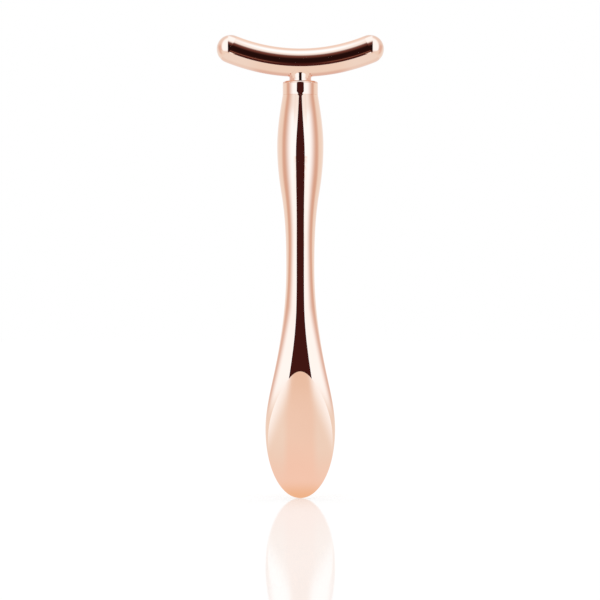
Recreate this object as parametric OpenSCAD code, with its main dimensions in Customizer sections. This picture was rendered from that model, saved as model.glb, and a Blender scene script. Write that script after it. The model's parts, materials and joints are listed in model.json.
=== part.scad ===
// Heated eye massager wand. Millimetres.
// The wand stands upright along +Z: the curved massage bar is on top and the tip of
// the scoop is at the bottom. The plain front and the flat of the scoop look along -Y,
// the button and the charging pins are on the back, along +Y.
// The origin is on the axis, in the middle of the hand grip, where it is widest.

/* [Massage bar] */
// Width of the whole bar, over its round ends
head_w = 54.2; // [50:0.1:66]
// Diameter of the bar
bar_d = 9.2; // [8.4:0.1:11]
// Radius of the bar's bend, along its middle line
bar_bend_r = 60; // [50:1:90]
// Wall of the bar's tube
bar_wall = 0.9; // [0.6:0.05:1.1]
// Depth of the end caps' spigots in the tube
cap_spigot_l = 1.6; // [1:0.1:3]
// Width of the heating strip
heater_w = 5; // [3:0.1:5.6]
// Thickness of the heating strip
heater_t = 0.5; // [0.3:0.05:0.8]
// Half of the angle that the heating strip covers
heater_half_angle = 15; // [8:1:17]

/* [Neck and collar] */
// Diameter of the neck, where it shows
neck_d = 7; // [6.8:0.1:7.8]
// Length of the neck that shows under the middle of the bar
neck_l = 1.4; // [1:0.1:8]
// Diameter of the neck's shank inside the collar
shank_d = 5.8; // [5:0.1:6]
// Bore of the neck, for the leads
neck_bore_d = 4; // [3.6:0.1:4.4]
// Diameter of the flange that keeps the neck in the handle
flange_d = 9.2; // [8.6:0.1:9.6]
// Thickness of that flange
flange_t = 1; // [0.8:0.1:1.6]
// Length of the collar
collar_l = 4.5; // [4:0.1:8]
// Thickness of the collar's top
collar_top_t = 1; // [0.8:0.1:1.5]
// Rounding of the collar's top edge
collar_round = 0.9; // [0.3:0.1:1]
// Diameter of the handle's spigot inside the collar
spigot_d = 9.1; // [8.9:0.05:9.3]
// Thickness of the seal under the collar's top
seal_t = 0.3; // [0.2:0.05:0.5]
// Thickness of the handle's bulkhead under the collar
bulkhead_t = 2.3; // [1.8:0.1:3]

/* [Handle] */
// Diameter of the grip at its widest
grip_d = 15; // [14.4:0.1:19]
// Diameter of the handle where it meets the collar
handle_top_d = 11.4; // [11:0.02:12.6]
// Slope of the handle's side at the collar
handle_top_slope = 0.17; // [0.1:0.01:0.35]
// Length from the middle of the grip up to the collar
grip_to_collar = 16.6; // [16:0.1:21]
// Diameter of the waist
waist_d = 9.1; // [8.9:0.1:11.5]
// Length from the middle of the grip down to the waist
grip_to_waist = 39.4; // [38:0.1:50]
// Steepest slope between grip and waist
grip_slope = 0.169; // [0.1:0.005:0.22]
// Wall of the two handle shells
wall = 1.1; // [0.8:0.05:1.15]

/* [Scoop] */
// Width of the scoop at its widest
scoop_w = 22.6; // [16:0.1:30]
// Length from the waist down to the widest place
waist_to_scoop = 52.1; // [44:0.1:70]
// Steepest slope of the flare above the scoop
flare_slope = 0.211; // [0.1:0.005:0.28]
// Length from the widest place down to the tip
scoop_to_tip = 22.5; // [16:0.1:32]
// Length from the waist down to the end of the round section
waist_to_loft = 12.6; // [12:0.1:16]
// Length from the waist down to the top of the scoop's flat
waist_to_flat = 33.3; // [28:0.1:42]
// Depth of the front at the top of the flat, from the axis
front_depth = 5.3; // [5.1:0.1:6.5]
// Slope of the flat, sideways for each millimetre down
flat_slope = 0.205; // [0.15:0.005:0.24]
// Depth of the back at its deepest, from the parting line
back_depth = 5.9; // [5.2:0.1:8]
// How far the parting line bends back at the tip
tip_bend = 3.7; // [3.6:0.1:5.5]
// Length from the waist down to where that bend starts
waist_to_bend = 38.6; // [36:0.1:46]
// Roundness of the tip's outline: 2 is an ellipse
tip_fullness = 2.04; // [2:0.01:2.3]

/* [Battery and motor] */
// Diameter of the battery
battery_d = 7; // [6:0.1:7.2]
// Length of the battery
battery_l = 20; // [14:0.5:21]
// Diameter of the vibration motor
motor_d = 6; // [5:0.1:6.2]
// Length of the vibration motor's can
motor_l = 6; // [5:0.1:7]
// Thickness of the rubber sleeve around the motor
sleeve_t = 0.5; // [0.3:0.05:0.6]
// Diameter of the motor's shaft
shaft_d = 0.8; // [0.6:0.1:1]
// Radius of the eccentric weight
weight_r = 2.5; // [1.8:0.1:3]
// Length of the eccentric weight
weight_l = 2; // [1.2:0.1:2.1]

/* [Circuit board] */
// Width of the board
board_w = 5.6; // [5.4:0.1:5.8]
// Thickness of the board
board_t = 0.8; // [0.6:0.1:1]
// Length of the board
board_l = 28; // [27.6:0.1:28.4]
// How far the board's front lies in front of the axis
board_offset = 1.2; // [1.1:0.05:1.4]
// Thickness of the core frame's trough
frame_t = 0.6; // [0.5:0.05:0.8]

/* [Button and contacts] */
// Width of the button
button_w = 4.2; // [3.4:0.1:4.4]
// Length of the button
button_l = 9; // [7:0.1:9.4]
// How far the button stands out of the back
button_proud = 0.3; // [0.25:0.05:0.8]
// Travel of the button
button_travel = 0.25; // [0.15:0.05:0.3]
// Length from the waist up to the button's middle
waist_to_button = 10.6; // [9:0.1:11.4]
// Diameter of the lamp window
window_d = 1.4; // [1:0.1:2]
// Length from the waist up to the lamp window
waist_to_window = 2.9; // [2.4:0.1:3.4]
// Diameter of the charging pins
pin_d = 1.8; // [1.2:0.1:2]
// Distance between the charging pins
pin_pitch = 4; // [3.9:0.1:4.6]
// Length from the waist down to the middle of the charging pins
waist_to_pins = 4; // [3.6:0.1:4.6]
// Wall of the pins' insulating sleeves
insulator_wall = 0.6; // [0.4:0.05:0.7]

/* [Fits and fasteners] */
// Gap between pieces that are assembled by hand
slip_gap = 0.05; // [0.03:0.01:0.08]
// Gap around pieces that move
running_gap = 0.06; // [0.05:0.01:0.1]
// Diameter of the pins that line up the two shells
dowel_d = 1; // [0.8:0.1:1.2]
// Length of those pins
dowel_l = 2.6; // [2:0.1:3]
// Diameter of the board's screws
screw_d = 1; // [0.8:0.1:1.2]
// Length of the board's screws under the head
screw_l = 1.8; // [1.4:0.1:1.9]

/* [Hidden] */

// Fineness of round faces
$fn = 96;
// Largest step along the handle's outline
outline_step = 1.3;
// Steps round half of the scoop
half_steps = 24;
// Steps along the scoop above its widest place, and below it
flare_steps = 20;
tip_steps = 14;
// Angle at which the tip's outline ends in a small flat
tip_end_angle = 88;
// Larger than the wand, for cutting
big = 200;
// Overshoot of cuts through a face
eps = 0.01;
// How far the scoop's first section lies inside the round section that it continues
loft_inset = 0.02;

// Colours
rose_gold = [0.93, 0.72, 0.62];
gold = [0.83, 0.66, 0.3];
steel = [0.7, 0.7, 0.72];
copper = [0.75, 0.43, 0.26];
board_green = [0.1, 0.36, 0.22];
black_plastic = [0.12, 0.12, 0.13];
white_plastic = [0.9, 0.9, 0.88];
amber_film = [0.78, 0.5, 0.2];
blue_wrap = [0.2, 0.36, 0.62];
red_wire = [0.75, 0.15, 0.12];

// Heights along the axis, from the middle of the grip
collar_z = grip_to_collar;
collar_top_z = collar_z + collar_l;
bar_z = collar_top_z + neck_l + bar_d / 2;
bend_z = bar_z + bar_bend_r;
waist_z = -grip_to_waist;
scoop_z = waist_z - waist_to_scoop;
tip_z = scoop_z - scoop_to_tip;
loft_z = waist_z - waist_to_loft;
flat_z = waist_z - waist_to_flat;
bend_start_z = waist_z - waist_to_bend;

// The outline's steepest places, as shares of the way and of the change of radius
shoulder_way = 0.39;
shoulder_drop = 0.47;
flare_way = 0.64;
flare_rise = 0.566;
shoulder_z = shoulder_way * waist_z;
flare_z = waist_z - flare_way * waist_to_scoop;

grip_r = grip_d / 2;
waist_r = waist_d / 2;
scoop_r = scoop_w / 2;
handle_top_r = handle_top_d / 2;
shoulder_r = grip_r - shoulder_drop * (grip_r - waist_r);
flare_r = waist_r + flare_rise * (scoop_r - waist_r);

// Massage bar
bar_r = bar_d / 2;
bar_bore_r = bar_r - bar_wall;
bar_half_angle = asin((head_w / 2 - bar_r) / bar_bend_r);
// The strip lies as a chord in the upper half of the bore
heater_r = bar_bend_r - sqrt(pow(bar_bore_r, 2) - pow(heater_w / 2, 2)) + slip_gap;
thermistor_r = 0.6;
thermistor_l = 2.4;
thermistor_angle = 6;

// Neck, collar and the top of the handle
neck_r = neck_d / 2;
shank_r = shank_d / 2;
neck_bore_r = neck_bore_d / 2;
flange_r = flange_d / 2;
spigot_r = spigot_d / 2;
bulkhead_z = collar_z - bulkhead_t;
collar_ceiling_z = collar_top_z - collar_top_t;
spigot_top_z = collar_ceiling_z - seal_t;
spigot_bore_r = neck_r + slip_gap;
shoulder_seat_z = collar_ceiling_z - 2 * slip_gap;
flange_top_z = bulkhead_z - slip_gap;
// How far the shank reaches into the bar
shank_in_bar = 0.8;
shank_top_z = bar_z - bar_bore_r + shank_in_bar;

// Leads: diameter, and sides of their round section
lead_d = 0.6;
lead_sides = 8;

// Inside of the handle
cavity_floor_t = 2;
cavity_floor_z = loft_z + cavity_floor_t;
seat_r = battery_d / 2 + slip_gap;
battery_top_z = 1.5;
battery_z = battery_top_z - battery_l;
tab_t = 0.2;
tab_r = 1.6;
tab_top_z = battery_top_z + tab_t;
// Room for a lead between the battery and the motor
motor_z = tab_top_z + lead_d + 0.2;
end_cap_t = 0.6;
can_z = motor_z + end_cap_t;
can_top_z = can_z + motor_l;
can_wall = 0.35;
motor_r = motor_d / 2;
shaft_r = shaft_d / 2;
// Room around the armature in the can, and under the weight
armature_gap = 0.4;
armature_r = motor_r - can_wall - armature_gap;
weight_gap = 0.3;
weight_z = can_top_z + weight_gap;
shaft_top_z = weight_z + weight_l;
frame_top_z = can_top_z;
// The frame's ribs: height of the middle of each one
rib_t = 1;
battery_rib_inset = 2;
motor_rib_inset = 1;
rib_zs = [
    battery_z + battery_rib_inset,
    battery_top_z - battery_rib_inset,
    can_z + motor_rib_inset,
    can_top_z - motor_rib_inset
];
// The rib that the battery's foot stands on reaches further in than the others
stop_z = battery_z - tab_t - rib_t;
stop_bore_r = 1;

// Board and what is on it. The button side of the board looks along +Y.
board_front_y = -board_offset;
board_back_y = board_front_y + board_t;
frame_foot_gap = 0.2;
board_foot_gap = 0.4;
board_z = cavity_floor_z + board_foot_gap;
board_top_z = board_z + board_l;
button_z = waist_z + waist_to_button;
window_z = waist_z + waist_to_window;
pin_zs = [for (s = [-1, 1]) waist_z - waist_to_pins + s * pin_pitch / 2];
screw_foot_inset = 1.6;
screw_top_inset = 1.8;
screw_zs = [board_z + screw_foot_inset, board_top_z - screw_top_inset];
screw_head_d = 1.9;
screw_head_t = 0.6;
boss_d = 2.4;
switch_w = 3;
switch_h = 1.5;
switch_back_y = board_back_y + switch_h;
plunger_r = 0.7;
plunger_up = 0.4;
plunger_in = 0.5;
plunger_back_y = switch_back_y + plunger_up;
button_flange_w = 5.2;
button_flange_t = 0.5;
button_flange_extra = 0.5;
button_flange_gap = 0.07;
button_foot_gap = 0.02;
// The flange lies under the narrowest stretch of the shell's bore that it meets
button_flange_r = wand_r(button_z - button_l / 2) - wall;
button_flange_y = sqrt(pow(button_flange_r, 2) - pow(button_flange_w / 2, 2))
    - button_flange_gap;
led_l = 1.6;
led_w = 0.8;
led_t = 0.6;
// How far the feet of the lamp window and of the insulators stand out sideways
foot_rim = 0.4;
window_r = window_d / 2;
window_foot_r = window_r + foot_rim;
window_foot_t = 0.5;
window_foot_y = sqrt(pow(wand_r(window_z) - wall, 2) - pow(window_foot_r, 2)) - slip_gap;
pin_r = pin_d / 2;
insulator_r = pin_r + insulator_wall;
insulator_flange_r = insulator_r + foot_rim;
insulator_flange_t = 0.4;
insulator_flange_y = sqrt(pow(waist_r - wall, 2) - pow(insulator_flange_r, 2)) - slip_gap;
pin_recess = 0.15;
chip_w = 3;
controller_t = 0.8;
charger_t = 0.9;
charger_l = 1.6;
// The charger chip lies between the two charging pins
charger_z = waist_z - waist_to_pins - charger_l / 2;
part_w = 0.8;
part_t = 0.5;
part_pitch = 1.5;
part_rows = 4;
part_x = 1;

// Where the dowel pins cross the parting plane: [x, z]
dowel_inset = 0.35;
low_dowel_way = 0.62;
low_dowel_drop = 1.5;
dowel_places = [
    [(spigot_r + handle_top_r) / 2 - dowel_inset, bulkhead_z + bulkhead_t / 2],
    [wand_r(flat_z) * low_dowel_way, flat_z - low_dowel_drop]
];

// Routes of the leads, as points chosen by hand
lead_bore_x = 1.1;
lead_side_x = seat_r + 0.5;
// Leads lie on the board's back and on the battery's upper tab
lead_pad_y = board_back_y + lead_d / 2 + 0.01;
lead_top_z = tab_top_z + lead_d / 2 + 0.01;
heater_lead_route = [
    [2.1, lead_pad_y, board_top_z - 1],
    [2.1, lead_pad_y, board_top_z],
    [2.5, 0.2, battery_z - 2.3],
    [3.5, 0.5, battery_z - 1.2],
    [lead_side_x, 0.6, battery_z - 0.2],
    [lead_side_x, 0.6, can_top_z + 1],
    [lead_side_x - 0.1, 0.5, shaft_top_z - 0.1],
    [lead_side_x - 0.8, 0.3, shaft_top_z + 0.35],
    [lead_bore_x + 1, 0.1, shaft_top_z + 0.55],
    [lead_bore_x + 0.2, 0, shaft_top_z + 0.95],
    [lead_bore_x, 0, shaft_top_z + 1.6],
    [lead_bore_x, 0, bend_z - heater_r - heater_t - 0.02]
];
motor_lead_route = [
    [0.7, lead_pad_y, board_top_z - 0.6],
    [0.7, 0.2, board_top_z],
    [0.7, 2.4, battery_z - 1.7],
    [0.7, seat_r + 0.3, battery_z - 0.7],
    [0.7, seat_r + 0.5, battery_z + 0.9],
    [0.7, seat_r + 0.5, tab_top_z - 1.2],
    [0.7, seat_r + 0.3, tab_top_z],
    [0.7, seat_r - 0.2, lead_top_z],
    [0.7, motor_r - 0.6, lead_top_z]
];
// From the board to the battery's foot, and up its side to its top
battery_foot_route = [
    [1.4, lead_pad_y, board_top_z - 1.6],
    [1.4, lead_pad_y, board_top_z],
    [1.2, 0, battery_z - tab_t - 0.02]
];
battery_top_route = [
    [-1.4, lead_pad_y, board_top_z - 1.6],
    [-1.4, lead_pad_y, board_top_z],
    [-1.9, 1.8, battery_z - 1.9],
    [-2.2, 3.3, battery_z - 0.6],
    [-2.2, 3.5, battery_z + 0.9],
    [-2.2, 3.5, tab_top_z - 1.2],
    [-2.1, 3.3, tab_top_z - 0.2],
    [-1.7, 2.5, lead_top_z],
    [-0.8, 1, lead_top_z]
];

// Smooth step between two places of an outline, with a slope at each one
function hermite(z, z0, r0, m0, z1, r1, m1) =
    let (d = z1 - z0, t = (z - z0) / d)
    (2 * pow(t, 3) - 3 * pow(t, 2) + 1) * r0 + (pow(t, 3) - 2 * pow(t, 2) + t) * m0 * d
    + (3 * pow(t, 2) - 2 * pow(t, 3)) * r1 + (pow(t, 3) - pow(t, 2)) * m1 * d;

// Half-width of the wand at a height, from the collar down to the tip
function wand_r(z) =
    z > 0 ? hermite(z, 0, grip_r, 0, collar_z, handle_top_r, -handle_top_slope)
    : z > shoulder_z ? hermite(z, 0, grip_r, 0, shoulder_z, shoulder_r, grip_slope)
    : z > waist_z ? hermite(z, shoulder_z, shoulder_r, grip_slope, waist_z, waist_r, 0)
    : z > flare_z ? hermite(z, waist_z, waist_r, 0, flare_z, flare_r, -flare_slope)
    : z > scoop_z ? hermite(z, flare_z, flare_r, -flare_slope, scoop_z, scoop_r, 0)
    : scoop_r * pow(1 - pow(min(1, (scoop_z - z) / scoop_to_tip), tip_fullness), 1 / tip_fullness);

// Slope of the half-width where the round section ends
loft_slope = (wand_r(loft_z + 0.1) - wand_r(loft_z - 0.1)) / 0.2;

// Depth that runs smoothly on from the round section to its largest value, then round to the tip
function half_depth(z, deepest_z, depth) =
    z > deepest_z
    ? hermite(z, loft_z, wand_r(loft_z), loft_slope, deepest_z, depth, 0)
    : depth * sqrt(max(0, 1 - pow((deepest_z - z) / (deepest_z - tip_z), 2)));

function front_d(z) = half_depth(z, flat_z, front_depth);
function back_d(z) = half_depth(z, bend_start_z, back_depth);

// The parting line bends back towards the tip, so that the rim stays behind the flat
function parting_y(z) =
    z > bend_start_z ? 0 : tip_bend * pow((bend_start_z - z) / (bend_start_z - tip_z), 2);

// Heights between two places, evenly spaced
function heights(z0, z1) =
    let (n = ceil(abs(z1 - z0) / outline_step))
    [for (i = [0:n]) z0 + (z1 - z0) * i / n];

// Heights of the scoop's sections: even down to the widest place, then closer to the tip
function scoop_heights() = concat(
    [for (i = [0:flare_steps - 1]) loft_z + (scoop_z - loft_z) * i / flare_steps],
    [for (i = [0:tip_steps]) scoop_z - scoop_to_tip * sin(tip_end_angle * i / tip_steps)]
);

// One side's section of the scoop: side -1 is the front, 1 is the back
function scoop_section(z, side) =
    let (
        inset = z == loft_z ? loft_inset : 0,
        w = wand_r(z) - inset,
        d = (side < 0 ? front_d(z) : back_d(z)) - inset,
        y = parting_y(z)
    )
    [for (i = [0:half_steps])
        let (a = 180 * i / half_steps)
        [side * w * cos(a), y + side * d * sin(a), z]];

// Closed skin over a stack of sections that have the same number of points
module skin(sections) {
    n = len(sections[0]);
    m = len(sections);
    points = [for (s = sections) each s];
    sides = [
        for (j = [0:m - 2])
        for (i = [0:n - 1])
        let (k = (i + 1) % n)
        each [
            [j * n + i, j * n + k, (j + 1) * n + k],
            [j * n + i, (j + 1) * n + k, (j + 1) * n + i]
        ]
    ];
    ends = [
        [for (i = [n - 1:-1:0]) i],
        [for (i = [0:n - 1]) (m - 1) * n + i]
    ];
    polyhedron(points = points, faces = concat(sides, ends));
}

// A lead: a round tube along a route, with its ends cut square to the route
module lead(route, d) {
    m = len(route);
    function unit(v) = v / norm(v);
    sections = [
        for (j = [0:m - 1])
        let (
            along = unit(route[min(j + 1, m - 1)] - route[max(j - 1, 0)]),
            u = unit(cross([0, 1, 0.02], along)),
            v = cross(along, u)
        )
        [for (i = [0:lead_sides - 1])
            let (a = -360 * i / lead_sides)
            route[j] + d / 2 * (cos(a) * u + sin(a) * v)]
    ];
    skin(sections);
}

// The same thing on the left as on the right
module both_sides() {
    children();
    mirror([1, 0, 0]) children();
}

// Half of a turned piece: side -1 is the front half, 1 is the back half
module half_turned(side) {
    rotate_extrude(angle = 180, start = side < 0 ? 180 : 0) children();
}

// Something that turns with the bar's bend, at an angle to the right of its middle
module on_bar(angle) {
    translate([0, 0, bend_z]) rotate([0, -angle, 0]) translate([0, 0, -bar_bend_r]) children();
}

// A section swept along the bar's bend. It is drawn with x away from the bend's centre.
module along_bar(half_angle) {
    translate([0, 0, bend_z])
        rotate([90, 0, 0])
            rotate_extrude(angle = 2 * half_angle, start = 270 - half_angle)
                children();
}

// A cylinder that points out of the back, between two distances from the axis
module back_cylinder(r, y0, y1, z) {
    translate([0, y0, z]) rotate([-90, 0, 0]) cylinder(r = r, h = y1 - y0);
}

// A slab with round ends that points out of the back
module back_pill(w, l, y0, y1, z) {
    for (s = [-1, 1])
        back_cylinder(w / 2, y0, y1, z + s * (l - w) / 2);
    translate([-w / 2, y0, z - (l - w) / 2]) cube([w, y1 - y0, l - w]);
}

// The round handle as a solid, grown or shrunk sideways, between two heights
module handle_solid(grow, z0, z1) {
    zs = heights(z0, z1);
    rotate_extrude()
        polygon(concat([[0, z0]], [for (z = zs) [wand_r(z) + grow, z]], [[0, z1]]));
}

module dowels(extra_d = 0) {
    both_sides()
        for (p = dowel_places)
            translate([p[0], -dowel_l / 2, p[1]])
                rotate([-90, 0, 0])
                    cylinder(d = dowel_d + extra_d, h = dowel_l);
}

// ---------------------------------------------------------------- massage bar

module bar_tube() {
    color(rose_gold)
    difference() {
        along_bar(bar_half_angle)
            translate([bar_bend_r, 0])
                difference() {
                    circle(r = bar_r);
                    circle(r = bar_bore_r);
                }
        translate([0, 0, bar_z - bar_r - neck_l]) cylinder(r = shank_r, h = bar_r + neck_l);
    }
}

module bar_end_caps() {
    spigot = bar_bore_r - slip_gap;
    color(rose_gold)
    both_sides()
        on_bar(bar_half_angle)
            rotate([0, 90, 0])
                rotate_extrude() {
                    intersection() {
                        circle(r = bar_r);
                        square(bar_r);
                    }
                    translate([0, -cap_spigot_l]) square([spigot, cap_spigot_l + eps]);
                }
}

module heater_strip() {
    color(amber_film)
    along_bar(heater_half_angle)
        translate([heater_r, -heater_w / 2])
            square([heater_t, heater_w]);
}

module thermistor() {
    bead_z = bar_bend_r - heater_r - heater_t - thermistor_r;
    color(black_plastic)
    on_bar(thermistor_angle)
        translate([0, 0, bead_z])
            rotate([0, 90, 0])
                cylinder(r = thermistor_r, h = thermistor_l, center = true);
}

module heater_leads() {
    color(red_wire)
    both_sides() lead(heater_lead_route, lead_d);
}

// ------------------------------------------------------------ neck and collar

module neck_stem() {
    color(rose_gold)
    union() {
        rotate_extrude()
            polygon([
                [neck_bore_r, flange_top_z - flange_t],
                [flange_r, flange_top_z - flange_t],
                [flange_r, flange_top_z],
                [shank_r, flange_top_z],
                [shank_r, shank_top_z],
                [neck_bore_r, shank_top_z]
            ]);
        difference() {
            translate([0, 0, shoulder_seat_z])
                cylinder(r = neck_r, h = bar_z - shoulder_seat_z);
            translate([0, 0, shoulder_seat_z - eps])
                cylinder(r = (shank_r + neck_bore_r) / 2, h = big);
            along_bar(bar_half_angle) translate([bar_bend_r, 0]) circle(r = bar_r);
        }
    }
}

module neck_bush() {
    color(white_plastic)
    rotate_extrude()
        translate([shank_r + slip_gap, bulkhead_z])
            square([spigot_bore_r - shank_r - 2 * slip_gap, shoulder_seat_z - bulkhead_z]);
}

module neck_seal() {
    color(black_plastic)
    rotate_extrude()
        translate([neck_r + slip_gap, spigot_top_z])
            square([spigot_r - neck_r - slip_gap, seal_t]);
}

module collar_ring() {
    color(rose_gold)
    rotate_extrude()
        difference() {
            union() {
                translate([0, collar_z]) square([handle_top_r, collar_l - collar_round]);
                translate([0, collar_z]) square([handle_top_r - collar_round, collar_l]);
                translate([handle_top_r - collar_round, collar_top_z - collar_round])
                    circle(r = collar_round);
            }
            translate([0, collar_z - eps])
                square([spigot_r + slip_gap, collar_l - collar_top_t + eps]);
            translate([0, collar_z]) square([neck_r + slip_gap, collar_l + eps]);
        }
}

// -------------------------------------------------------------- handle shells

// Round half of a shell, with its spigot, its bulkhead and the floor of its cavity
module shell_round(side) {
    outer_low = heights(loft_z, 0);
    outer_high = heights(0, collar_z);
    inner_high = heights(bulkhead_z, 0);
    inner_low = heights(0, cavity_floor_z);
    half_turned(side)
        polygon(concat(
            [[0, loft_z]],
            [for (z = outer_low) [wand_r(z), z]],
            [for (i = [1:len(outer_high) - 1]) [wand_r(outer_high[i]), outer_high[i]]],
            [
                [spigot_r, collar_z],
                [spigot_r, spigot_top_z],
                [spigot_bore_r, spigot_top_z],
                [spigot_bore_r, bulkhead_z]
            ],
            [for (z = inner_high) [wand_r(z) - wall, z]],
            [for (i = [1:len(inner_low) - 1]) [wand_r(inner_low[i]) - wall, inner_low[i]]],
            [[0, cavity_floor_z]]
        ));
}

// Solid half of the scoop
module scoop_half(side) {
    skin([for (z = scoop_heights()) scoop_section(z, side)]);
}

// All that lies in front of the scoop's flat
module in_front_of_flat() {
    translate([0, -front_depth, flat_z])
        rotate([atan(flat_slope), 0, 0])
            translate([-big / 2, -big, -big])
                cube([big, big, 2 * big]);
}

module front_shell() {
    color(rose_gold)
    difference() {
        union() {
            shell_round(-1);
            difference() {
                scoop_half(-1);
                in_front_of_flat();
            }
        }
        dowels();
    }
}

module rear_shell() {
    color(rose_gold)
    difference() {
        union() {
            shell_round(1);
            scoop_half(1);
        }
        dowels();
        back_pill(button_w + 2 * running_gap, button_l + 2 * running_gap, 0, big, button_z);
        back_cylinder(window_r + slip_gap, 0, big, window_z);
        for (z = pin_zs)
            back_cylinder(insulator_r, 0, big, z);
    }
}

module dowel_pins() {
    color(steel)
    dowels();
}

// ------------------------------------------------------------- inner assembly

module core_frame() {
    frame_z = cavity_floor_z + frame_foot_gap;
    zs = heights(frame_z, frame_top_z);
    outer = wall + slip_gap;
    color(black_plastic)
    difference() {
        union() {
            half_turned(-1)
                polygon(concat(
                    [for (z = zs) [wand_r(z) - outer, z]],
                    [for (i = [len(zs) - 1:-1:0]) [wand_r(zs[i]) - outer - frame_t, zs[i]]]
                ));
            for (z = rib_zs)
                frame_rib(z - rib_t / 2, seat_r);
            frame_rib(stop_z, stop_bore_r);
            intersection() {
                for (z = screw_zs)
                    translate([0, -big / 2, z])
                        rotate([-90, 0, 0])
                            cylinder(d = boss_d, h = big / 2);
                handle_solid(-outer - frame_t / 2, frame_z, board_top_z + 1);
            }
        }
        translate([-big / 2, board_front_y, -big]) cube([big, big, 2 * big]);
        for (z = screw_zs)
            translate([0, board_back_y - screw_l, z])
                rotate([-90, 0, 0])
                    cylinder(d = screw_d, h = screw_l + eps);
    }
}

// A rib of the frame that reaches from its trough inwards to a radius
module frame_rib(z, inner_r) {
    half_turned(-1)
        polygon([
            [inner_r, z],
            [wand_r(z) - wall - slip_gap - frame_t / 2, z],
            [wand_r(z + rib_t) - wall - slip_gap - frame_t / 2, z + rib_t],
            [inner_r, z + rib_t]
        ]);
}

module battery_cell() {
    color(blue_wrap)
    translate([0, 0, battery_z]) cylinder(d = battery_d, h = battery_l);
}

module battery_tabs() {
    color(steel)
    for (z = [battery_z - tab_t, battery_z + battery_l])
        translate([0, 0, z]) cylinder(r = tab_r, h = tab_t);
}

module battery_leads() {
    color(red_wire)
    for (route = [battery_foot_route, battery_top_route])
        lead(route, lead_d);
}

module motor_can() {
    color(steel)
    translate([0, 0, can_z])
        rotate_extrude()
            difference() {
                square([motor_r, motor_l]);
                translate([0, -eps]) square([motor_r - can_wall, motor_l - can_wall + eps]);
                square([shaft_r + running_gap, motor_l + eps]);
            }
}

module motor_end_cap() {
    color(black_plastic)
    translate([0, 0, motor_z])
        difference() {
            cylinder(r = motor_r, h = end_cap_t);
            translate([0, 0, end_cap_t / 2]) cylinder(r = shaft_r + running_gap, h = end_cap_t);
        }
}

module motor_sleeve() {
    color(black_plastic)
    translate([0, 0, can_z])
        difference() {
            cylinder(r = motor_r + sleeve_t, h = motor_l);
            translate([0, 0, -eps]) cylinder(r = motor_r, h = motor_l + 2 * eps);
        }
}

module motor_leads() {
    color(red_wire)
    both_sides() lead(motor_lead_route, lead_d);
}

module motor_shaft() {
    foot_z = motor_z + end_cap_t / 2 + running_gap;
    color(steel)
    translate([0, 0, foot_z]) cylinder(r = shaft_r, h = shaft_top_z - foot_z);
}

module motor_armature() {
    color(copper)
    translate([0, 0, can_z + armature_gap])
        difference() {
            cylinder(r = armature_r, h = motor_l - can_wall - 2 * armature_gap);
            translate([0, 0, -eps]) cylinder(r = shaft_r, h = motor_l);
        }
}

module eccentric_weight() {
    color(steel)
    translate([0, 0, weight_z])
        difference() {
            union() {
                intersection() {
                    cylinder(r = weight_r, h = weight_l);
                    translate([-weight_r, 0, 0]) cube([2 * weight_r, weight_r, weight_l]);
                }
                cylinder(r = shaft_d, h = weight_l);
            }
            translate([0, 0, -eps]) cylinder(r = shaft_r, h = weight_l + 2 * eps);
        }
}

// -------------------------------------------------------------- circuit board

module main_board() {
    color(board_green)
    difference() {
        translate([-board_w / 2, board_front_y, board_z]) cube([board_w, board_t, board_l]);
        for (z = screw_zs)
            back_cylinder(screw_d / 2, board_front_y - eps, board_back_y + eps, z);
    }
}

module board_screws() {
    color(steel)
    for (z = screw_zs) {
        back_cylinder(screw_d / 2, board_back_y - screw_l, board_back_y + eps, z);
        back_cylinder(screw_head_d / 2, board_back_y, board_back_y + screw_head_t, z);
    }
}

module controller_chip() {
    color(black_plastic)
    translate([-chip_w / 2, board_front_y - controller_t, button_z - chip_w / 2])
        cube([chip_w, controller_t, chip_w]);
}

module charger_chip() {
    color(black_plastic)
    translate([-chip_w / 2, board_front_y - charger_t, charger_z])
        cube([chip_w, charger_t, charger_l]);
}

// Capacitors and resistors in a row on the front of the board
module small_parts() {
    color(copper)
    for (i = [0:part_rows - 1])
        for (x = [-part_x, part_x])
            translate([x - part_w / 2, board_front_y - part_t, window_z - 1 + i * part_pitch])
                cube([part_w, part_t, part_w]);
}

module switch_base() {
    pocket_y = switch_back_y - plunger_in - button_travel - running_gap;
    color(black_plastic)
    difference() {
        translate([-switch_w / 2, board_back_y, button_z - switch_w / 2])
            cube([switch_w, switch_h, switch_w]);
        back_cylinder(plunger_r + running_gap, pocket_y, switch_back_y + eps, button_z);
    }
}

module switch_plunger() {
    color(white_plastic)
    back_cylinder(plunger_r, switch_back_y - plunger_in, plunger_back_y, button_z);
}

module power_button() {
    foot_y = plunger_back_y + button_foot_gap;
    flange_y0 = button_flange_y - button_flange_t;
    color(rose_gold)
    union() {
        intersection() {
            back_pill(button_w, button_l, flange_y0, big / 2, button_z);
            handle_solid(button_proud, button_z - button_l, button_z + button_l);
        }
        back_pill(button_flange_w, button_l + 2 * button_flange_extra,
            flange_y0, button_flange_y, button_z);
        back_cylinder(2 * plunger_r, foot_y, button_flange_y, button_z);
    }
}

module status_led() {
    color(white_plastic)
    translate([-led_w / 2, board_back_y, window_z - led_l / 2]) cube([led_w, led_t, led_l]);
}

module led_window() {
    foot_y = board_back_y + led_t + slip_gap;
    color(white_plastic)
    union() {
        intersection() {
            back_cylinder(window_r, foot_y, big / 2, window_z);
            handle_solid(0, window_z - window_d, window_z + window_d);
        }
        back_cylinder(window_foot_r, window_foot_y - window_foot_t, window_foot_y, window_z);
    }
}

module charge_pins() {
    color(gold)
    for (z = pin_zs)
        back_cylinder(pin_r, board_back_y, wand_r(z) - pin_recess, z);
}

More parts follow.
